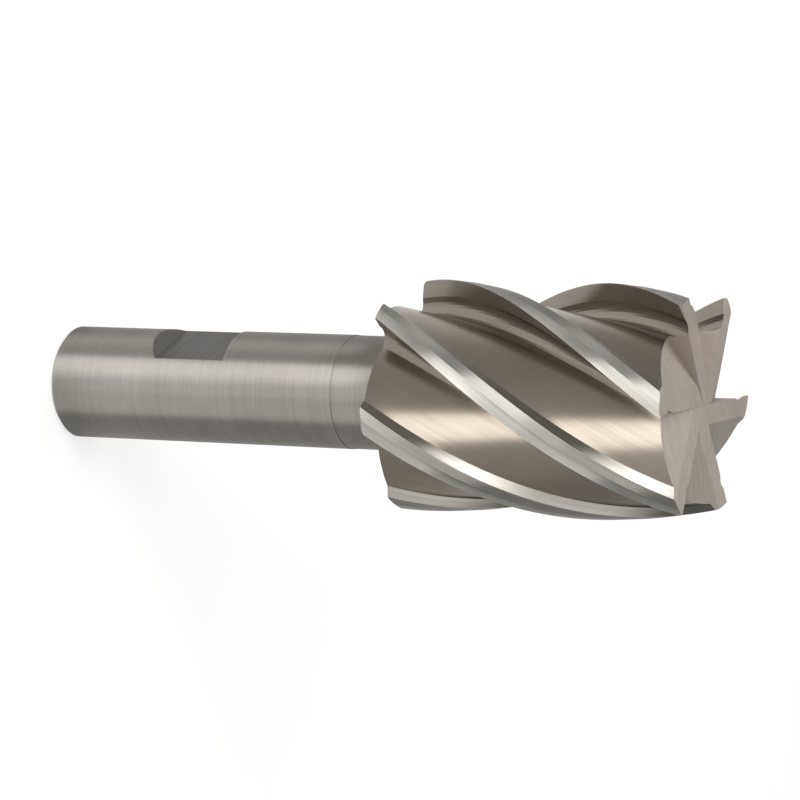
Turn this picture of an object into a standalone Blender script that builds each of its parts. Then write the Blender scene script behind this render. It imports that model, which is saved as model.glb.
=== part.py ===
# End mill with a large cutting head on a smaller driving shank.
# One piece of ground steel: six right-hand helical teeth with gashed end teeth,
# and a plain shank with one clamping flat. Metres, +Z from the shank end to the
# cutting end, origin at the middle of the shank end, +X out of the clamping flat.

import bpy
import bmesh
import math
from mathutils import Vector

# Shank
SHANK_DIAMETER = 0.01905
SHANK_LENGTH = 0.0641
SHANK_CHAMFER = 0.0008
NECK_DIAMETER = 0.0189
NECK_LENGTH = 0.0100
CENTRE_HOLE_MOUTH = 0.0045
CENTRE_HOLE_ANGLE = math.radians(60.0)
CENTRE_DRILL_DIAMETER = 0.0020
CENTRE_DRILL_DEPTH = 0.0022

# Clamping flat
FLAT_DEPTH = 0.001905
FLAT_LENGTH = 0.0131
FLAT_CENTRE = 0.0265
FLAT_RAMP_ANGLE = math.radians(45.0)

# Cutting head
HEAD_DIAMETER = 0.0381
HEAD_LENGTH = 0.05215
TEETH = 6
HELIX_ANGLE = math.radians(34.4)
TIP_AZIMUTH = math.radians(11.4)
BACK_CORNER = 0.0006

# Tooth section, seen along the axis
RAKE_ANGLE = math.radians(6.0)
RAKE_FACE_WIDTH = 0.0028
ROOT_RADIUS = 0.0019
ROOT_LEAD = math.radians(7.0)
PRIMARY_LAND = math.radians(6.4)
PRIMARY_RELIEF = math.radians(7.0)
SECONDARY_LAND = math.radians(7.4)
SECONDARY_RELIEF = math.radians(15.0)
HEEL_WIDTH = math.radians(3.0)
HEEL_RELIEF = math.radians(50.0)
BACK_RELIEF = math.radians(22.4)

# End teeth
END_EDGE_LAG = math.radians(1.3)
END_DISH = math.radians(0.8)
END_LAND_WIDTH = 0.0032
END_LAND_RELIEF = math.radians(4.0)
GASH_ANGLE = math.radians(21.0)
SHALLOW_GASH_ANGLE = math.radians(13.0)
SHALLOW_GASH_TOOTH = 4

# Fineness of the round surfaces
SHANK_SEGMENTS = 96
HEAD_SLICES = 40
ROOT_STEPS = 6
BACK_STEPS = 6
SHARP_ANGLE = math.radians(22.0)

# How far cutting bodies run past the steel, and the shank into the head
CLEARANCE = 0.004
OVERLAP = 0.008

OVERALL_LENGTH = SHANK_LENGTH + HEAD_LENGTH
SHANK_RADIUS = SHANK_DIAMETER / 2
HEAD_RADIUS = HEAD_DIAMETER / 2
PITCH = 2 * math.pi / TEETH
TWIST = math.tan(HELIX_ANGLE) / HEAD_RADIUS


def clear_scene():
    for item in list(bpy.data.objects):
        bpy.data.objects.remove(item, do_unlink=True)


def new_object(name, points, faces):
    mesh = bpy.data.meshes.new(name)
    mesh.from_pydata(points, [], faces)
    body = bmesh.new()
    body.from_mesh(mesh)
    bmesh.ops.recalc_face_normals(body, faces=body.faces)
    body.to_mesh(mesh)
    body.free()
    item = bpy.data.objects.new(name, mesh)
    bpy.context.scene.collection.objects.link(item)
    return item


def combine(target, tool, operation):
    tool.display_type = "WIRE"
    tool.hide_render = True
    change = target.modifiers.new(tool.name, "BOOLEAN")
    change.operation = operation
    change.solver = "EXACT"
    change.object = tool
    graph = bpy.context.evaluated_depsgraph_get()
    result = bpy.data.meshes.new_from_object(target.evaluated_get(graph))
    target.modifiers.remove(change)
    old = target.data
    target.data = result
    bpy.data.meshes.remove(old)
    bpy.data.objects.remove(tool, do_unlink=True)


def polar(radius, angle):
    return Vector((radius * math.cos(angle), radius * math.sin(angle)))


def heading(angle):
    return Vector((math.cos(angle), math.sin(angle)))


# A relieved surface falls away behind the tooth: its radius shrinks by the same
# ratio for every degree, so it meets each radius at the relief angle.
def relieved(radius, relief, angle):
    return radius * math.exp(-math.tan(relief) * angle)


# Outline of one tooth and the flute in front of it, with the cutting edge at
# angle zero. It starts where the flute meets the heel of the tooth in front.
def tooth_outline():
    primary_end = relieved(HEAD_RADIUS, PRIMARY_RELIEF, PRIMARY_LAND)
    heel = relieved(primary_end, SECONDARY_RELIEF, SECONDARY_LAND)
    back_top = relieved(heel, HEEL_RELIEF, HEEL_WIDTH)
    land_angle = PRIMARY_LAND + SECONDARY_LAND
    back_start = PITCH - land_angle - HEEL_WIDTH
    outline = []
    for step in range(BACK_STEPS + 1):
        angle = back_start + (ROOT_LEAD - back_start) * step / BACK_STEPS
        radius = relieved(back_top, BACK_RELIEF, back_start - angle)
        outline.append(polar(radius, angle))
    # The root is an arc that leaves the flute floor smoothly and turns up into
    # the rake face, which leans back from the cutting edge.
    floor_end = outline[-1]
    floor_turn = ROOT_LEAD - math.pi / 2 - BACK_RELIEF
    inward = heading(floor_turn)
    centre = floor_end + ROOT_RADIUS * Vector((-inward.y, inward.x))
    rake_end = Vector((HEAD_RADIUS, 0.0)) - RAKE_FACE_WIDTH * heading(RAKE_ANGLE)
    to_rake = rake_end - centre
    reach = math.acos(min(1.0, ROOT_RADIUS / to_rake.length))
    start_angle = math.atan2(floor_end.y - centre.y, floor_end.x - centre.x)
    end_angle = math.atan2(to_rake.y, to_rake.x) - reach
    sweep = (end_angle - start_angle) % (2 * math.pi)
    for step in range(1, ROOT_STEPS + 1):
        angle = start_angle + sweep * step / ROOT_STEPS
        outline.append(centre + ROOT_RADIUS * heading(angle))
    outline.append(rake_end)
    outline.append(polar(HEAD_RADIUS, 0.0))
    outline.append(polar(primary_end, -PRIMARY_LAND))
    outline.append(polar(heel, -land_angle))
    return outline


def head_section():
    outline = tooth_outline()
    section = []
    for tooth in range(TEETH):
        turn = -tooth * PITCH
        for point in outline:
            angle = math.atan2(point.y, point.x) + turn
            section.append(polar(point.length, angle))
    return section


# The section is carried up the axis while it turns with the helix.
def swept_head():
    section = head_section()
    count = len(section)
    low = SHANK_LENGTH
    high = OVERALL_LENGTH + CLEARANCE
    points = []
    for level in range(HEAD_SLICES + 1):
        z = low + (high - low) * level / HEAD_SLICES
        turn = TIP_AZIMUTH + TWIST * (z - OVERALL_LENGTH)
        for point in section:
            angle = math.atan2(point.y, point.x) + turn
            spot = polar(point.length, angle)
            points.append((spot.x, spot.y, z))
    faces = []
    for level in range(HEAD_SLICES):
        for index in range(count):
            a = level * count + index
            b = level * count + (index + 1) % count
            c = b + count
            d = a + count
            diagonal_ac = (Vector(points[a]) - Vector(points[c])).length
            diagonal_bd = (Vector(points[b]) - Vector(points[d])).length
            if diagonal_ac < diagonal_bd:
                faces.append((a, b, c))
                faces.append((a, c, d))
            else:
                faces.append((a, b, d))
                faces.append((b, c, d))
    faces.append(tuple(range(count)))
    top = HEAD_SLICES * count
    faces.append(tuple(range(top, top + count)))
    return new_object("head", points, faces)


# One grinding form for the whole end. For each tooth it leaves a narrow end land
# behind the edge, then the sloping gash down to the rake wall of the next tooth.
# One gash is ground less deep than the others.
def end_form():
    reach = HEAD_RADIUS * 1.3
    top = OVERALL_LENGTH + 2 * CLEARANCE
    dish = HEAD_RADIUS * math.tan(END_DISH)
    pitch_sine = math.sin(PITCH)
    pitch_cosine = math.cos(PITCH)
    rim_slope = (1 - pitch_cosine) / pitch_sine
    inner_x = END_LAND_WIDTH * pitch_cosine / pitch_sine
    outer_x = reach - END_LAND_WIDTH * rim_slope

    def land_height(x, behind):
        rise = x * math.tan(END_DISH) - behind * math.tan(END_LAND_RELIEF)
        return OVERALL_LENGTH - dish + rise

    inner_z = land_height(inner_x, END_LAND_WIDTH)
    outer_z = land_height(outer_x, END_LAND_WIDTH)
    far_x = reach * pitch_cosine
    far_behind = reach * pitch_sine
    along = (outer_z - inner_z) / (outer_x - inner_x)
    land_z = inner_z + (far_x - inner_x) * along

    points = [(0.0, 0.0, OVERALL_LENGTH - dish), (0.0, 0.0, top)]
    faces = []
    ring = []
    for tooth in range(TEETH):
        turn = TIP_AZIMUTH - END_EDGE_LAG - tooth * PITCH
        gash = SHALLOW_GASH_ANGLE if tooth == SHALLOW_GASH_TOOTH else GASH_ANGLE
        far_z = land_z - (far_behind - END_LAND_WIDTH) * math.tan(gash)
        first = len(points)
        corners = [
            (reach, 0.0, land_height(reach, 0.0)),
            (outer_x, END_LAND_WIDTH, outer_z),
            (inner_x, END_LAND_WIDTH, inner_z),
            (far_x, far_behind, far_z),
            (reach, 0.0, top),
        ]
        for x, behind, z in corners:
            spot = polar(math.hypot(x, behind), math.atan2(-behind, x) + turn)
            points.append((spot.x, spot.y, z))
        ring.append(first)
    for tooth in range(TEETH):
        edge = ring[tooth]
        following = ring[(tooth + 1) % TEETH]
        outer = edge + 1
        inner = edge + 2
        far = edge + 3
        roof = edge + 4
        faces.append((0, edge, outer, inner))
        faces.append((inner, outer, far))
        faces.append((0, inner, far, following))
        faces.append((edge, roof, following + 4, following, far, outer))
        faces.append((1, roof, following + 4))
    return new_object("end form", points, faces)


def turned(name, profile, segments):
    points = []
    rings = []
    for radius, z in profile:
        if radius < 1e-9:
            rings.append([len(points)])
            points.append((0.0, 0.0, z))
            continue
        ring = []
        for index in range(segments):
            spot = polar(radius, 2 * math.pi * index / segments)
            ring.append(len(points))
            points.append((spot.x, spot.y, z))
        rings.append(ring)
    faces = []
    for lower, upper in zip(rings[:-1], rings[1:]):
        for index in range(segments):
            following = (index + 1) % segments
            if len(lower) == 1:
                faces.append((lower[0], upper[following], upper[index]))
            elif len(upper) == 1:
                faces.append((lower[index], lower[following], upper[0]))
            else:
                faces.append((lower[index], lower[following], upper[following], upper[index]))
    return new_object(name, points, faces)


# Shank with a centre hole in its end, from the turning between centres, and a
# neck ground very slightly smaller next to the head.
def turned_shank():
    mouth = CENTRE_HOLE_MOUTH / 2
    drill = CENTRE_DRILL_DIAMETER / 2
    cone_depth = (mouth - drill) / math.tan(CENTRE_HOLE_ANGLE / 2)
    drill_end = cone_depth + CENTRE_DRILL_DEPTH
    neck_start = SHANK_LENGTH - NECK_LENGTH
    neck_radius = NECK_DIAMETER / 2
    step = SHANK_RADIUS - neck_radius
    profile = [
        (0.0, drill_end + drill / 2),
        (drill, drill_end),
        (drill, cone_depth),
        (mouth, 0.0),
        (SHANK_RADIUS - SHANK_CHAMFER, 0.0),
        (SHANK_RADIUS, SHANK_CHAMFER),
        (SHANK_RADIUS, neck_start - step),
        (neck_radius, neck_start),
        (neck_radius, SHANK_LENGTH + OVERLAP),
        (0.0, SHANK_LENGTH + OVERLAP),
    ]
    return turned("shank", profile, SHANK_SEGMENTS)


# Small chamfer round the back corners of the teeth.
def back_corner_form():
    outside = HEAD_RADIUS + CLEARANCE
    below = SHANK_LENGTH - CLEARANCE
    inside = HEAD_RADIUS - BACK_CORNER - CLEARANCE
    above = SHANK_LENGTH + BACK_CORNER + CLEARANCE
    profile = [(inside, below), (outside, below), (outside, above), (inside, below)]
    points = []
    faces = []
    for index in range(SHANK_SEGMENTS):
        for radius, z in profile[:3]:
            spot = polar(radius, 2 * math.pi * index / SHANK_SEGMENTS)
            points.append((spot.x, spot.y, z))
    for index in range(SHANK_SEGMENTS):
        here = 3 * index
        there = 3 * ((index + 1) % SHANK_SEGMENTS)
        for corner in range(3):
            following = (corner + 1) % 3
            faces.append((here + corner, there + corner, there + following, here + following))
    return new_object("back corner", points, faces)


# The flat ends in a ramp towards the shank end and in a square wall towards the head.
def flat_form():
    near = SHANK_RADIUS - FLAT_DEPTH
    far = SHANK_RADIUS + CLEARANCE
    low = FLAT_CENTRE - FLAT_LENGTH / 2
    high = FLAT_CENTRE + FLAT_LENGTH / 2
    ramp = (far - near) / math.tan(FLAT_RAMP_ANGLE)
    points = []
    for z, run in ((low, ramp), (high, 0.0)):
        points.append((near, -SHANK_DIAMETER, z))
        points.append((far, -SHANK_DIAMETER, z - run))
        points.append((far, SHANK_DIAMETER, z - run))
        points.append((near, SHANK_DIAMETER, z))
    faces = [
        (0, 1, 2, 3),
        (4, 5, 6, 7),
        (0, 1, 5, 4),
        (1, 2, 6, 5),
        (2, 3, 7, 6),
        (3, 0, 4, 7),
    ]
    return new_object("flat form", points, faces)


def ground_steel():
    material = bpy.data.materials.new("ground_steel")
    material.use_nodes = True
    shader = material.node_tree.nodes["Principled BSDF"]
    shader.inputs["Base Color"].default_value = (0.55, 0.53, 0.50, 1.0)
    shader.inputs["Metallic"].default_value = 1.0
    shader.inputs["Roughness"].default_value = 0.32
    return material


def finish(item):
    mesh = item.data
    body = bmesh.new()
    body.from_mesh(mesh)
    bmesh.ops.remove_doubles(body, verts=body.verts, dist=0.000001)
    bmesh.ops.dissolve_degenerate(body, edges=body.edges, dist=0.000001)
    bmesh.ops.triangulate(body, faces=body.faces)
    bmesh.ops.recalc_face_normals(body, faces=body.faces)
    body.to_mesh(mesh)
    body.free()
    mesh.shade_smooth()
    mesh.set_sharp_from_angle(angle=SHARP_ANGLE)
    mesh.materials.clear()
    mesh.materials.append(ground_steel())


def build_end_mill():
    mill = swept_head()
    combine(mill, end_form(), "DIFFERENCE")
    combine(mill, back_corner_form(), "DIFFERENCE")
    combine(mill, turned_shank(), "UNION")
    combine(mill, flat_form(), "DIFFERENCE")
    mill.name = "end_mill"
    mill.data.name = "end_mill"
    finish(mill)
    return mill


clear_scene()
build_end_mill()
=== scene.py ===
import bpy
import bmesh
import math
from mathutils import Matrix, Vector


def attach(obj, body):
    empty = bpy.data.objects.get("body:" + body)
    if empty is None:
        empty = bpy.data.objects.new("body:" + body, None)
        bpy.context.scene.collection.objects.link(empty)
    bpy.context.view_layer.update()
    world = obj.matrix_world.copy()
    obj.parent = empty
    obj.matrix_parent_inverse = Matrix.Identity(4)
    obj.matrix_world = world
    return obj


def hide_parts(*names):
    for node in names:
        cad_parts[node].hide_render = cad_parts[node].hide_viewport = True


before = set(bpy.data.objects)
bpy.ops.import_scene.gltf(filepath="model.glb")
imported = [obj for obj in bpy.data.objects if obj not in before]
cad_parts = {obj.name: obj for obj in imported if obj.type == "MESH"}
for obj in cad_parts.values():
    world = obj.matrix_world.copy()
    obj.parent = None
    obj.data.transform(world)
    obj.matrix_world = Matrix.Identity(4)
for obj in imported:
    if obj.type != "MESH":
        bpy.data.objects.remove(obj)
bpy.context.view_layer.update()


def toLinear(hexColour):
    channels = [int(hexColour[i:i + 2], 16) / 255 for i in (1, 3, 5)]
    linear = [c / 12.92 if c <= 0.04045 else ((c + 0.055) / 1.055) ** 2.4 for c in channels]
    return (*linear, 1.0)


def addNode(tree, kind, links=None, **settings):
    # settings are the node's properties; links are its inputs, by name or index, each a socket or a value
    node = tree.nodes.new(kind)
    for key, value in settings.items():
        setattr(node, key, value)
    for key, value in (links or {}).items():
        socket = node.inputs[key]
        if isinstance(value, bpy.types.NodeSocket):
            tree.links.new(value, socket)
        else:
            socket.default_value = value
    return node


# sizes in metres and degrees, the same as the solid's apart from the three noted in tooth
shank = {
    "diameter": 0.01905,
    "length": 0.0641,
    "chamfer": 0.0008,
    "neckDiameter": 0.0189,
    "neckLength": 0.0100,
    "centreMouth": 0.0045,
    "centreDrill": 0.0020,
    "centreDepth": 0.0022,
    "centreSlope": 30,  # of the hole's cone, from the axis
    "buried": 0.008,  # how far the shank runs on inside the head
    "segments": 256,
}
flat = {"depth": 0.001905, "length": 0.0131, "centre": 0.0265, "ramp": 45.0}
head = {
    "diameter": 0.0381,
    "length": 0.05215,
    "teeth": 6,
    "helix": 34.4,
    "tipAzimuth": 11.4,
    "backCorner": 0.0006,
    "rows": 130,
}
tooth = {
    "rake": 6.0,
    "rakeWidth": 0.0028,
    "rootRadius": 0.0019,
    "rootLead": 7.0,
    "primaryLand": 6.4,
    "primaryRelief": 7.0,
    "secondaryLand": 5.8,  # the solid has 7.4
    "secondaryRelief": 15.0,
    "heelWidth": 3.0,
    "heelRelief": 60.0,  # the solid has 50, and the light on the photographed heel shows a steeper one
    "backRelief": 19.7,  # the solid has 22.4
}
toothSteps = {"heel": 4, "back": 14, "root": 10, "rake": 3, "land": 3}  # straight pieces along each stretch
endTeeth = {
    "lag": 1.3,
    "dish": 0.8,
    "landWidth": 0.0032,
    "landRelief": 4.0,
    "gash": 21.0,
    "shallowGash": 13.0,
    "shallowTooth": 4,
    "reach": 1.3,  # of the cutting form, in shares of the head's radius
}

overall = shank["length"] + head["length"]
headRadius = head["diameter"] / 2
shankRadius = shank["diameter"] / 2
neckStart = shank["length"] - shank["neckLength"]
pitch = 2 * math.pi / head["teeth"]
twist = math.tan(math.radians(head["helix"])) / headRadius  # turn per metre of height
tipAzimuth = math.radians(head["tipAzimuth"])
past = 0.004  # how far cutting forms run past the steel
rowMerge = 0.000002  # points this close are one where the walls of two teeth meet
cutMerge = 0.000001  # and this close after the cuts


def polar(radius, angle):
    return Vector((radius * math.cos(angle), radius * math.sin(angle)))


def fallAway(radius, relief, angle):
    # the radius after a turn by this angle along a spiral that keeps the same relief
    return radius * math.exp(-math.tan(math.radians(relief)) * angle)


def toothOutline():
    # the flute in front of a tooth and the tooth itself, from the heel of the next one to its own heel
    primary = math.radians(tooth["primaryLand"])
    secondary = math.radians(tooth["secondaryLand"])
    land = primary + secondary
    primaryEnd = fallAway(headRadius, tooth["primaryRelief"], primary)
    heel = fallAway(primaryEnd, tooth["secondaryRelief"], land - primary)
    heelWidth = math.radians(tooth["heelWidth"])
    backTop = fallAway(heel, tooth["heelRelief"], heelWidth)
    start = pitch - land - heelWidth
    lead = math.radians(tooth["rootLead"])
    points = []
    for step in range(1, toothSteps["heel"]):
        angle = start + heelWidth * (1 - step / toothSteps["heel"])
        points.append(polar(fallAway(heel, tooth["heelRelief"], start + heelWidth - angle), angle))
    for step in range(toothSteps["back"] + 1):
        angle = start + (lead - start) * step / toothSteps["back"]
        points.append(polar(fallAway(backTop, tooth["backRelief"], start - angle), angle))
    # the root is an arc from the foot of the flute's back to the rake face
    floorEnd = points[-1]
    turn = lead - math.pi / 2 - math.radians(tooth["backRelief"])
    centre = floorEnd + tooth["rootRadius"] * Vector((-math.sin(turn), math.cos(turn)))
    edge = Vector((headRadius, 0.0))
    rakeEnd = edge - tooth["rakeWidth"] * polar(1.0, math.radians(tooth["rake"]))
    toRake = rakeEnd - centre
    reach = math.acos(min(1.0, tooth["rootRadius"] / toRake.length))
    first = math.atan2(floorEnd.y - centre.y, floorEnd.x - centre.x)
    sweep = (math.atan2(toRake.y, toRake.x) - reach - first) % (2 * math.pi)
    for step in range(1, toothSteps["root"] + 1):
        points.append(centre + polar(tooth["rootRadius"], first + sweep * step / toothSteps["root"]))
    for step in range(toothSteps["rake"]):
        points.append(rakeEnd.lerp(edge, step / toothSteps["rake"]))
    for step in range(toothSteps["land"]):
        angle = primary * step / toothSteps["land"]
        points.append(polar(fallAway(headRadius, tooth["primaryRelief"], angle), -angle))
    for step in range(toothSteps["land"]):
        angle = (land - primary) * step / toothSteps["land"]
        points.append(polar(fallAway(primaryEnd, tooth["secondaryRelief"], angle), -primary - angle))
    points.append(polar(heel, -land))
    return points


def meshObject(name, points, faces):
    mesh = bpy.data.meshes.new(name)
    mesh.from_pydata([tuple(p) for p in points], [], faces)
    work = bmesh.new()
    work.from_mesh(mesh)
    bmesh.ops.recalc_face_normals(work, faces=work.faces)
    work.to_mesh(mesh)
    work.free()
    item = bpy.data.objects.new(name, mesh)
    bpy.context.scene.collection.objects.link(item)
    return item


def plainMesh(item):
    # what the modifiers make becomes the object's own mesh
    graph = bpy.context.evaluated_depsgraph_get()
    graph.update()
    mesh = bpy.data.meshes.new_from_object(item.evaluated_get(graph))
    item.modifiers.clear()
    item.data = mesh


def combine(target, tool, operation):
    change = target.modifiers.new("cut", "BOOLEAN")
    change.operation = operation
    change.solver = "EXACT"
    change.object = tool
    plainMesh(target)
    bpy.data.objects.remove(tool, do_unlink=True)


def helixTree():
    # carries the section of one tooth up the axis, turning it with the helix, once for each tooth
    tree = bpy.data.node_groups.new("flutedHead", "GeometryNodeTree")
    inputs = {
        "Section": "NodeSocketGeometry",
        "Teeth": "NodeSocketInt",
        "Points": "NodeSocketInt",
        "Rows": "NodeSocketInt",
        "Low": "NodeSocketFloat",
        "High": "NodeSocketFloat",
        "Tip": "NodeSocketFloat",
        "Twist": "NodeSocketFloat",
        "Tip Azimuth": "NodeSocketFloat",
        "Steel": "NodeSocketMaterial",
    }
    for name, kind in inputs.items():
        tree.interface.new_socket(name, in_out="INPUT", socket_type=kind)
    tree.interface.new_socket("Head", in_out="OUTPUT", socket_type="NodeSocketGeometry")
    given = addNode(tree, "NodeGroupInput").outputs
    columns = addNode(tree, "ShaderNodeMath", {0: given["Points"], 1: 1.0}, operation="ADD").outputs[0]
    grid = addNode(tree, "GeometryNodeMeshGrid", {
        "Vertices X": columns, "Vertices Y": given["Rows"], "Size X": 1.0, "Size Y": 1.0}).outputs["Mesh"]
    # the grid is one metre wide about its middle: x picks the outline's point, y the height
    spot = addNode(tree, "GeometryNodeInputPosition").outputs[0]
    split = addNode(tree, "ShaderNodeSeparateXYZ", {0: spot}).outputs
    along = addNode(tree, "ShaderNodeMath", {0: split["X"], 1: 0.5}, operation="ADD").outputs[0]
    up = addNode(tree, "ShaderNodeMath", {0: split["Y"], 1: 0.5}, operation="ADD").outputs[0]
    column = addNode(tree, "ShaderNodeMath", {0: along, 1: given["Points"]}, operation="MULTIPLY").outputs[0]
    rounded = addNode(tree, "ShaderNodeMath", {0: column}, operation="ROUND").outputs[0]
    outline = addNode(tree, "GeometryNodeSampleIndex", {
        "Geometry": given["Section"], "Value": spot, "Index": rounded},
        data_type="FLOAT_VECTOR", domain="POINT").outputs[0]
    z = addNode(tree, "ShaderNodeMapRange", {
        "Value": up, "To Min": given["Low"], "To Max": given["High"]}).outputs[0]
    fromTip = addNode(tree, "ShaderNodeMath", {0: z, 1: given["Tip"]}, operation="SUBTRACT").outputs[0]
    angle = addNode(tree, "ShaderNodeMath", {
        0: fromTip, 1: given["Twist"], 2: given["Tip Azimuth"]}, operation="MULTIPLY_ADD").outputs[0]
    swung = addNode(tree, "ShaderNodeVectorRotate", {
        "Vector": outline, "Angle": angle}, rotation_type="Z_AXIS").outputs[0]
    lift = addNode(tree, "ShaderNodeCombineXYZ", {"Z": z}).outputs[0]
    place = addNode(tree, "ShaderNodeVectorMath", {0: swung, 1: lift}, operation="ADD").outputs[0]
    wall = addNode(tree, "GeometryNodeSetPosition", {"Geometry": grid, "Position": place}).outputs[0]
    # the same wall once round for each tooth
    spots = addNode(tree, "GeometryNodeMeshLine", {
        "Count": given["Teeth"], "Offset": (0.0, 0.0, 0.0)}).outputs[0]
    order = addNode(tree, "GeometryNodeInputIndex").outputs[0]
    share = addNode(tree, "ShaderNodeMath", {
        0: 2 * math.pi, 1: given["Teeth"]}, operation="DIVIDE").outputs[0]
    swing = addNode(tree, "ShaderNodeMath", {0: order, 1: share}, operation="MULTIPLY").outputs[0]
    facing = addNode(tree, "ShaderNodeCombineXYZ", {"Z": swing}).outputs[0]
    copies = addNode(tree, "GeometryNodeInstanceOnPoints", {
        "Points": spots, "Instance": wall, "Rotation": facing}).outputs[0]
    real = addNode(tree, "GeometryNodeRealizeInstances", {"Geometry": copies}).outputs[0]
    painted = addNode(tree, "GeometryNodeSetMaterial", {"Geometry": real, "Material": given["Steel"]})
    addNode(tree, "NodeGroupOutput", {"Head": painted.outputs[0]})
    return tree


def setInputs(modifier, values):
    for item in modifier.node_group.interface.items_tree:
        if item.item_type == "SOCKET" and item.in_out == "INPUT" and item.name in values:
            modifier[item.identifier] = values[item.name]


def flutedHead(steel):
    outline = toothOutline()
    # one point more, the first one a pitch back, so that each tooth's wall ends where the next one starts
    first = outline[0]
    closing = polar(first.length, math.atan2(first.y, first.x) - pitch)
    points = [(p.x, p.y, 0.0) for p in outline] + [(closing.x, closing.y, 0.0)]
    section = meshObject("section", points, [])
    sweep = section.modifiers.new("helix", "NODES")
    sweep.node_group = helixTree()
    setInputs(sweep, {
        "Teeth": head["teeth"],
        "Points": len(outline),
        "Rows": head["rows"],
        "Low": shank["length"],
        "High": overall + past,
        "Tip": overall,
        "Twist": twist,
        "Tip Azimuth": tipAzimuth,
        "Steel": steel,
    })
    plainMesh(section)
    work = bmesh.new()
    work.from_mesh(section.data)
    bmesh.ops.remove_doubles(work, verts=work.verts, dist=rowMerge)
    bmesh.ops.holes_fill(work, edges=[e for e in work.edges if e.is_boundary], sides=0)
    bmesh.ops.recalc_face_normals(work, faces=work.faces)
    work.to_mesh(section.data)
    work.free()
    return section


def endForm():
    # the ground end: a narrow land behind each edge, then the gash down to the next rake wall
    reach = headRadius * endTeeth["reach"]
    top = overall + 2 * past
    slope = {k: math.tan(math.radians(endTeeth[k])) for k in ("dish", "landRelief")}
    width = endTeeth["landWidth"]
    dish = headRadius * slope["dish"]
    sine, cosine = math.sin(pitch), math.cos(pitch)
    innerX = width * cosine / sine
    outerX = reach - width * (1 - cosine) / sine
    innerZ = overall - dish + innerX * slope["dish"] - width * slope["landRelief"]
    outerZ = overall - dish + outerX * slope["dish"] - width * slope["landRelief"]
    farX, farBehind = reach * cosine, reach * sine
    alongLand = innerZ + (farX - innerX) * (outerZ - innerZ) / (outerX - innerX)
    points = [(0.0, 0.0, overall - dish), (0.0, 0.0, top)]
    hubPoints, toothPoints = 2, 5
    for index in range(head["teeth"]):
        turn = tipAzimuth - math.radians(endTeeth["lag"]) - index * pitch
        gash = endTeeth["shallowGash" if index == endTeeth["shallowTooth"] else "gash"]
        farZ = alongLand - (farBehind - width) * math.tan(math.radians(gash))
        corners = (
            (reach, 0.0, overall - dish + reach * slope["dish"]),
            (outerX, width, outerZ),
            (innerX, width, innerZ),
            (farX, farBehind, farZ),
            (reach, 0.0, top),
        )
        for x, behind, z in corners:
            spot = polar(math.hypot(x, behind), math.atan2(-behind, x) + turn)
            points.append((spot.x, spot.y, z))
    faces = []
    for index in range(head["teeth"]):
        a = hubPoints + toothPoints * index
        b = hubPoints + toothPoints * ((index + 1) % head["teeth"])
        faces += [
            (0, a, a + 1, a + 2),
            (a + 2, a + 1, a + 3),
            (0, a + 2, a + 3, b),
            (a, a + 4, b + 4, b, a + 3, a + 1),
            (1, a + 4, b + 4),
        ]
    return meshObject("endForm", points, faces)


def turned(name, profile, segments, closed=False):
    # a profile of (radius, height) points spun round the axis; a point on the axis stays single
    points, rings = [], []
    for radius, z in profile:
        count = segments if radius else 1
        rings.append([len(points) + i for i in range(count)])
        for i in range(count):
            spot = polar(radius, 2 * math.pi * i / segments)
            points.append((spot.x, spot.y, z))
    faces = []
    following = rings[1:] + rings[:1] if closed else rings[1:]
    for low, high in zip(rings, following):
        for i in range(segments):
            j = (i + 1) % segments
            if len(low) == 1:
                faces.append((low[0], high[j], high[i]))
            elif len(high) == 1:
                faces.append((low[i], low[j], high[0]))
            else:
                faces.append((low[i], low[j], high[j], high[i]))
    return meshObject(name, points, faces)


def shankBody():
    mouth, drill = shank["centreMouth"] / 2, shank["centreDrill"] / 2
    cone = (mouth - drill) / math.tan(math.radians(shank["centreSlope"]))
    neck = shank["neckDiameter"] / 2
    buried = shank["length"] + shank["buried"]
    profile = [
        (0.0, cone + shank["centreDepth"] + drill / 2),
        (drill, cone + shank["centreDepth"]),
        (drill, cone),
        (mouth, 0.0),
        (shankRadius - shank["chamfer"], 0.0),
        (shankRadius, shank["chamfer"]),
        (shankRadius, neckStart - (shankRadius - neck)),
        (neck, neckStart),
        (neck, buried),
        (0.0, buried),
    ]
    return turned("shank", profile, shank["segments"])


def backCornerForm():
    outside, inside = headRadius + past, headRadius - head["backCorner"] - past
    low, high = shank["length"] - past, shank["length"] + head["backCorner"] + past
    profile = [(inside, low), (outside, low), (outside, high)]
    return turned("backCorner", profile, shank["segments"], closed=True)


def flatForm():
    near, far = shankRadius - flat["depth"], shankRadius + past
    wide = shank["diameter"]
    ramp = (far - near) / math.tan(math.radians(flat["ramp"]))
    low, high = flat["centre"] - flat["length"] / 2, flat["centre"] + flat["length"] / 2
    corners = ((near, -wide), (far, -wide), (far, wide), (near, wide))
    points = []
    for z, run in ((low, ramp), (high, 0.0)):
        points += [(x, y, z - (run if x == far else 0.0)) for x, y in corners]
    faces = [(0, 1, 2, 3), (4, 5, 6, 7), (0, 1, 5, 4), (1, 2, 6, 5), (2, 3, 7, 6), (3, 0, 4, 7)]
    return meshObject("flatForm", points, faces)


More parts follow.
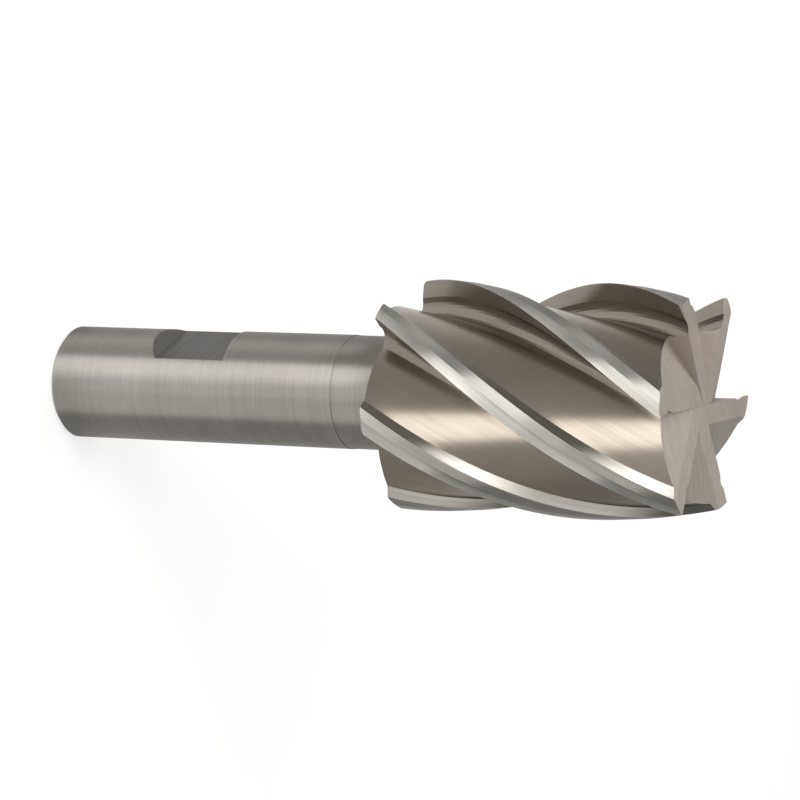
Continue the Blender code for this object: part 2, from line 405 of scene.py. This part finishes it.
# every finish is the same hardened high-speed steel; what differs is how each face was cut
# marks are cells per metre along x, y and z, so 1000 over each is its size in millimetres; the lines of a
# grinding wheel are about 0.03 mm apart and those of a milling cutter about 0.1 mm, too fine to show in the
# render, so all the marks are drawn as coarse as they need to show
# the third colour of each finish goes on paler along the cutting edges as a painted highlight with some wear,
# and darker round the shank's scuffed end
finishes = {
    # cylindrically ground: fine rings round the shank draw the light out along it
    "shank": {
        "name": "cylindricallyGroundSteel",
        "colour": "#98948E",
        "shade": "#8A8680",
        "sheenAndScuff": "#8E8B86",
        "roughness": 0.45,
        "vary": 0.02,
        "scuffed": 0.62,
        "anisotropy": 1.0,
        "marks": (25, 25, 2600),  # rings 0.4 mm apart, changing every 40 mm round
        "depth": 0.018,
    },
    # milled along the helix, then left: satin, a little brown, with lengthwise streaks
    "flute": {
        "name": "milledFluteSteel",
        "colour": "#8B8379",
        "shade": "#7F776D",
        "sheenAndScuff": "#A19A92",
        "roughness": 0.25,
        "vary": 0.012,
        "scuffed": 0.3,
        "anisotropy": 0.0,
        "marks": (900, 900, 20),  # streaks 1.1 mm apart and 50 mm long
        "depth": 0.004,
    },
    # the step behind each land, ground back for clearance: it turns from dark to bright along the tooth
    "heel": {
        "name": "clearanceGroundSteel",
        "colour": "#9A968F",
        "shade": "#8C8881",
        "sheenAndScuff": "#BCB9B3",
        "roughness": 0.36,
        "vary": 0.03,
        "scuffed": 0.36,
        "anisotropy": 1.0,
        "marks": (1500, 1500, 30),  # lines 0.7 mm apart and 33 mm long
        "depth": 0.015,
    },
    # relief ground after hardening: the brightest faces, with the light drawn out along the tool
    "land": {
        "name": "reliefGroundSteel",
        "colour": "#A29F99",
        "shade": "#918E88",
        "sheenAndScuff": "#C4C1BB",
        "roughness": 0.41,
        "vary": 0.03,
        "scuffed": 0.41,
        "anisotropy": 1.0,
        "marks": (1500, 1500, 30),  # lines 0.7 mm apart and 33 mm long
        "depth": 0.015,
    },
    # ground with the flat of a wheel: even, pale and matt
    "end": {
        "name": "wheelGroundEndSteel",
        "colour": "#A39B92",
        "shade": "#978F86",
        "sheenAndScuff": "#B8B1A8",
        "roughness": 0.58,
        "vary": 0.04,
        "scuffed": 0.58,
        "anisotropy": 0.0,
        "marks": (250, 1600, 250),  # lines 0.6 mm apart and 4 mm long
        "depth": 0.03,
    },
    # milled across before hardening: dark and dull, with straight cutter lines; it also goes on the small
    # step down to the neck as painted shade
    "flat": {
        "name": "milledFlatSteelAndShadedStep",
        "colour": "#605E5B",
        "shade": "#575552",
        "sheenAndScuff": "#7C7A76",
        "roughness": 0.48,
        "vary": 0.04,
        "scuffed": 0.5,
        "anisotropy": 0.0,
        "marks": (60, 60, 1600),  # lines 0.6 mm apart, changing every 17 mm across
        "depth": 0.05,
    },
}
alongHelix = ("flute", "heel", "land")  # the finishes whose marks follow the flutes
# the same for all of them: what range of the noise each look is read from
marking = {
    "detail": 3.0,
    "roughness": 0.6,
    "gloss": (0.3, 0.7),
    "bumpDistance": 0.0001,
}
clouds = {
    "cells": 90.0,  # per metre: patches of 11 mm, about a fingertip
    "detail": 2.0,
    "shade": (0.7, 1.3),  # of the marks and the clouds together
    "patches": (0.35, 0.65),
}
# how far the painted edge highlight and the shank's scuff reach
sheenAndScuffReach = {"edge": 0.00025, "shankEnd": 0.007}  # how far in from the cutting edge, and up from the shank's end


def cutSteel(zone):
    finish = finishes[zone]
    material = bpy.data.materials.new(finish["name"])
    material.use_nodes = True
    tree = material.node_tree
    shader = tree.nodes["Principled BSDF"]
    place = addNode(tree, "ShaderNodeTexCoord").outputs["Object"]
    height = addNode(tree, "ShaderNodeSeparateXYZ", {0: place}).outputs["Z"]
    spot = place
    if zone in alongHelix:
        # turned back by the helix, so that the marks follow the flutes
        turn = addNode(tree, "ShaderNodeMath", {0: height, 1: -twist}, operation="MULTIPLY").outputs[0]
        spot = addNode(tree, "ShaderNodeVectorRotate", {
            "Vector": place, "Angle": turn}, rotation_type="Z_AXIS").outputs[0]
    stretched = addNode(tree, "ShaderNodeMapping", {"Vector": spot, "Scale": finish["marks"]}).outputs[0]
    marks = addNode(tree, "ShaderNodeTexNoise", {
        "Vector": stretched, "Scale": 1.0,
        "Detail": marking["detail"], "Roughness": marking["roughness"]}).outputs[0]
    cloud = addNode(tree, "ShaderNodeTexNoise", {
        "Vector": spot, "Scale": clouds["cells"], "Detail": clouds["detail"]}).outputs[0]
    both = addNode(tree, "ShaderNodeMath", {0: marks, 1: cloud}, operation="ADD").outputs[0]
    low, high = clouds["shade"]
    share = addNode(tree, "ShaderNodeMapRange", {"Value": both, "From Min": low, "From Max": high}).outputs[0]
    colour = addNode(tree, "ShaderNodeMix", {
        "Factor": share, "A": toLinear(finish["colour"]), "B": toLinear(finish["shade"])},
        data_type="RGBA").outputs["Result"]
    low, high = marking["gloss"]
    gloss = addNode(tree, "ShaderNodeMapRange", {
        "Value": marks, "From Min": low, "From Max": high,
        "To Min": finish["roughness"] - finish["vary"],
        "To Max": finish["roughness"] + finish["vary"]}).outputs[0]
    # paler along the cutting edges: a painted highlight for the bright line of light along them, with some
    # wear; darker and duller round the scuffed end of the shank
    if zone == "shank":
        sheenAndScuff = addNode(tree, "ShaderNodeMapRange", {
            "Value": height, "From Min": sheenAndScuffReach["shankEnd"], "From Max": 0.0}).outputs[0]
    else:
        level = addNode(tree, "ShaderNodeVectorMath", {
            0: place, 1: (1.0, 1.0, 0.0)}, operation="MULTIPLY").outputs[0]
        radius = addNode(tree, "ShaderNodeVectorMath", {0: level}, operation="LENGTH").outputs["Value"]
        sheenAndScuff = addNode(tree, "ShaderNodeMapRange", {
            "Value": radius, "From Min": headRadius - sheenAndScuffReach["edge"], "From Max": headRadius}).outputs[0]
    low, high = clouds["patches"]
    patches = addNode(tree, "ShaderNodeMapRange", {
        "Value": cloud, "From Min": low, "From Max": high}).outputs[0]
    patchySheenAndScuff = addNode(tree, "ShaderNodeMath", {0: sheenAndScuff, 1: patches}, operation="MULTIPLY").outputs[0]
    colour = addNode(tree, "ShaderNodeMix", {
        "Factor": patchySheenAndScuff, "A": colour, "B": toLinear(finish["sheenAndScuff"])}, data_type="RGBA").outputs["Result"]
    gloss = addNode(tree, "ShaderNodeMix", {
        "Factor": patchySheenAndScuff, "A": gloss, "B": finish["scuffed"]}).outputs["Result"]
    bump = addNode(tree, "ShaderNodeBump", {
        "Height": marks, "Strength": finish["depth"], "Distance": marking["bumpDistance"]}).outputs[0]
    tree.links.new(colour, shader.inputs["Base Color"])
    tree.links.new(gloss, shader.inputs["Roughness"])
    tree.links.new(bump, shader.inputs["Normal"])
    shader.inputs["Metallic"].default_value = 1.0
    if finish["anisotropy"]:
        # a quarter turn from the rings: the light spreads along the tool
        shader.inputs["Anisotropic"].default_value = finish["anisotropy"]
        shader.inputs["Anisotropic Rotation"].default_value = 0.25
        ringwise = addNode(tree, "ShaderNodeTangent", direction_type="RADIAL", axis="Z").outputs[0]
        tree.links.new(ringwise, shader.inputs["Tangent"])
    return material


steels = {zone: cutSteel(zone) for zone in finishes}
print("finishes made")


def buildTool():
    tool = flutedHead(steels["flute"])
    tool.name = "endMill"
    combine(tool, endForm(), "DIFFERENCE")
    combine(tool, backCornerForm(), "DIFFERENCE")
    combine(tool, shankBody(), "UNION")
    combine(tool, flatForm(), "DIFFERENCE")
    work = bmesh.new()
    work.from_mesh(tool.data)
    bmesh.ops.remove_doubles(work, verts=work.verts, dist=cutMerge)
    bmesh.ops.dissolve_degenerate(work, edges=work.edges, dist=cutMerge)
    bmesh.ops.triangulate(work, faces=[f for f in work.faces if len(f.verts) > 4])
    bmesh.ops.recalc_face_normals(work, faces=work.faces)
    work.to_mesh(tool.data)
    work.free()
    print("tool", len(tool.data.polygons), "faces")
    return tool


# where each finish ends: a face's place, and how far its normal points out from the axis, up or to the side
borders = {
    "landRadius": 0.93,  # shares of the head's radius
    "heelRadius": 0.87,
    "landOutward": 0.7,
    "heelOutward": 0.3,
    "endUp": 0.8,
    "upright": 0.02,
    "flatSide": 0.5,
    "stepUp": 0.3,
    "slack": 0.0001,
    "headSlack": 0.00001,
    "sharp": 6,  # degrees between two faces, past which the edge between them stays crisp
}


def shankZone(c, normal):
    nearFlat = abs(c.z - flat["centre"]) < flat["length"]
    cutIn = math.hypot(c.x, c.y) < shankRadius - borders["slack"]
    onFlat = nearFlat and normal.x > borders["flatSide"] and cutIn
    # the small step down to the neck gets the dark, dull flat finish: painted shade that darkens it to a line
    # in place of its highlight
    paintedShadeStep = neckStart - borders["slack"] < c.z < neckStart and normal.z > borders["stepUp"]
    return "flat" if onFlat or paintedShadeStep else "shank"


def headZone(c, normal):
    land = math.radians(tooth["primaryLand"] + tooth["secondaryLand"])
    heel = land + math.radians(tooth["heelWidth"])
    radius = math.hypot(c.x, c.y)
    behind = (tipAzimuth + twist * (c.z - overall) - math.atan2(c.y, c.x)) % pitch
    outward = (normal.x * c.x + normal.y * c.y) / radius
    # the rake walls of the gashes stand upright on planes through the axis
    gashWall = abs(outward) < borders["upright"] and abs(normal.z) < borders["upright"]
    if abs(normal.z) > borders["endUp"] or gashWall:
        return "end"
    if behind < land and radius > headRadius * borders["landRadius"] and outward > borders["landOutward"]:
        return "land"
    if behind < heel and radius > headRadius * borders["heelRadius"] and outward > borders["heelOutward"]:
        return "heel"
    return "flute"


def paintZones(tool):
    mesh = tool.data
    mesh.materials.clear()
    order = list(steels)
    for zone in order:
        mesh.materials.append(steels[zone])
    for face in mesh.polygons:
        onShank = face.center.z < shank["length"] - borders["headSlack"]
        zone = (shankZone if onShank else headZone)(face.center, face.normal)
        face.material_index = order.index(zone)
    mesh.shade_smooth()
    mesh.set_sharp_from_angle(angle=math.radians(borders["sharp"]))


tool = buildTool()
paintZones(tool)
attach(tool, "root")
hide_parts("end_mill")
print("end mill in place")

# the camera, fitted to the photograph's outlines
view = {
    "lens": 161.53,
    "sensor": 36.0,
    "clip": (0.01, 20.0),
    "place": (0.230006, 0.478812, 0.326482),
    "right": (-0.157901, -0.418009, 0.894615),
    "up": (0.907501, -0.418556, -0.035395),
}
# pale floor, with a painted pool of light: pale where the camera looks and fading to grey away from it; soft
# lamps and a plain world
studio = {
    "floorSize": 6.0,
    "floorColour": "#F7F7F6",
    "paintedFalloffColour": "#B8B8B6",
    "floorRoughness": 0.9,
    "floorSpecular": 0.2,
    "paleBehind": 0.15,  # the middle of the pale area is this far behind the tool, where the camera looks
    "fadeFrom": 0.22,
    "fadeTo": 0.5,
    "glow": 0.72,  # share of the floor that shows its own colour, the rest is lit and holds the shadow
    "worldColour": "#FFFFFF",
    "worldStrength": 0.28,
    "aimHeight": 0.6,  # where the lamps point, in shares of the tool's height
}
# seen from the tool: where each lamp is, how wide and high it looks in degrees, how far off in metres,
# and how wide its beam is
lamps = {
    "keyLamp": {
        "azimuth": 30, "elevation": 34, "wide": 34, "high": 42,
        "distance": 1.5, "brightness": 8.4, "spread": 180},
    # near and low, where the flutes mirror it
    "lowLamp": {
        "azimuth": 65, "elevation": 3, "wide": 30, "high": 27,
        "distance": 0.34, "brightness": 2.45, "spread": 140},
    "fillLamp": {
        "azimuth": 104, "elevation": 25, "wide": 48, "high": 44,
        "distance": 1.3, "brightness": 2.4, "spread": 180},
    "backLamp": {
        "azimuth": 247, "elevation": 48, "wide": 46, "high": 36,
        "distance": 1.3, "brightness": 1.4, "spread": 180},
    "sideLamp": {
        "azimuth": -44, "elevation": 48, "wide": 28, "high": 36,
        "distance": 1.3, "brightness": 4.4, "spread": 180},
}


def studioFloor():
    half = studio["floorSize"] / 2
    corners = [(-half, -half, 0), (half, -half, 0), (half, half, 0), (-half, half, 0)]
    floor = meshObject("floor", corners, [(0, 1, 2, 3)])
    material = bpy.data.materials.new("paleFloor")
    material.use_nodes = True
    tree = material.node_tree
    shader = tree.nodes["Principled BSDF"]
    shader.inputs["Roughness"].default_value = studio["floorRoughness"]
    shader.inputs["Specular IOR Level"].default_value = studio["floorSpecular"]
    spot = addNode(tree, "ShaderNodeTexCoord").outputs["Object"]
    middle = (*polar(-studio["paleBehind"], math.atan2(view["place"][1], view["place"][0])), 0.0)
    fromMiddle = addNode(tree, "ShaderNodeVectorMath", {0: spot, 1: middle}, operation="SUBTRACT").outputs[0]
    away = addNode(tree, "ShaderNodeVectorMath", {0: fromMiddle}, operation="LENGTH").outputs["Value"]
    # painted pool of light: the floor's colour goes from pale to grey away from that middle
    paintedFalloff = addNode(tree, "ShaderNodeMapRange", {
        "Value": away, "From Min": studio["fadeFrom"], "From Max": studio["fadeTo"]},
        interpolation_type="SMOOTHSTEP").outputs[0]
    colour = addNode(tree, "ShaderNodeMix", {
        "Factor": paintedFalloff, "A": toLinear(studio["floorColour"]), "B": toLinear(studio["paintedFalloffColour"])},
        data_type="RGBA").outputs["Result"]
    glow = addNode(tree, "ShaderNodeEmission", {"Color": colour, "Strength": 1.0}).outputs[0]
    # the eye and the polished steel see the same pale floor
    path = addNode(tree, "ShaderNodeLightPath").outputs
    seen = addNode(tree, "ShaderNodeMath", {
        0: path["Is Camera Ray"], 1: path["Is Glossy Ray"]}, operation="MAXIMUM").outputs[0]
    seen = addNode(tree, "ShaderNodeMath", {
        0: seen, 1: path["Is Transmission Ray"]}, operation="MAXIMUM").outputs[0]
    share = addNode(tree, "ShaderNodeMath", {0: seen, 1: studio["glow"]}, operation="MULTIPLY").outputs[0]
    mixed = addNode(tree, "ShaderNodeMixShader", {0: share, 1: shader.outputs[0], 2: glow}).outputs[0]
    tree.links.new(colour, shader.inputs["Base Color"])
    tree.links.new(mixed, tree.nodes["Material Output"].inputs["Surface"])
    floor.data.materials.append(material)


def softLamp(name, place):
    distance = place["distance"]
    width, height = (2 * distance * math.tan(math.radians(place[side]) / 2) for side in ("wide", "high"))
    lamp = bpy.data.lights.new(name, "AREA")
    lamp.shape = "RECTANGLE"
    lamp.size, lamp.size_y = width, height
    lamp.energy = place["brightness"] * math.pi * width * height
    lamp.spread = math.radians(place["spread"])
    item = bpy.data.objects.new(name, lamp)
    item.visible_camera = False
    bpy.context.scene.collection.objects.link(item)
    azimuth, elevation = math.radians(place["azimuth"]), math.radians(place["elevation"])
    aim = Vector((*polar(math.cos(elevation), azimuth), math.sin(elevation)))
    item.location = Vector((0.0, 0.0, overall * studio["aimHeight"])) + aim * distance
    item.rotation_mode = "QUATERNION"
    item.rotation_quaternion = aim.to_track_quat("Z", "Y")


def studioWorld():
    world = bpy.data.worlds.new("studio")
    bpy.context.scene.world = world
    world.use_nodes = True
    background = world.node_tree.nodes["Background"]
    background.inputs["Color"].default_value = toLinear(studio["worldColour"])
    background.inputs["Strength"].default_value = studio["worldStrength"]


studioFloor()
studioWorld()
for name, place in lamps.items():
    softLamp(name, place)
print("studio made")


def photoCamera():
    camera = bpy.data.cameras.new("camera")
    camera.lens = view["lens"]
    camera.sensor_width = view["sensor"]
    camera.clip_start, camera.clip_end = view["clip"]
    item = bpy.data.objects.new("camera", camera)
    bpy.context.scene.collection.objects.link(item)
    right = Vector(view["right"]).normalized()
    up = Vector(view["up"])
    up = (up - right * up.dot(right)).normalized()
    turn = Matrix((right, up, right.cross(up))).transposed().to_4x4()
    item.matrix_world = Matrix.Translation(view["place"]) @ turn
    bpy.context.scene.camera = item


photoCamera()
bpy.context.scene.view_settings.view_transform = "Standard"
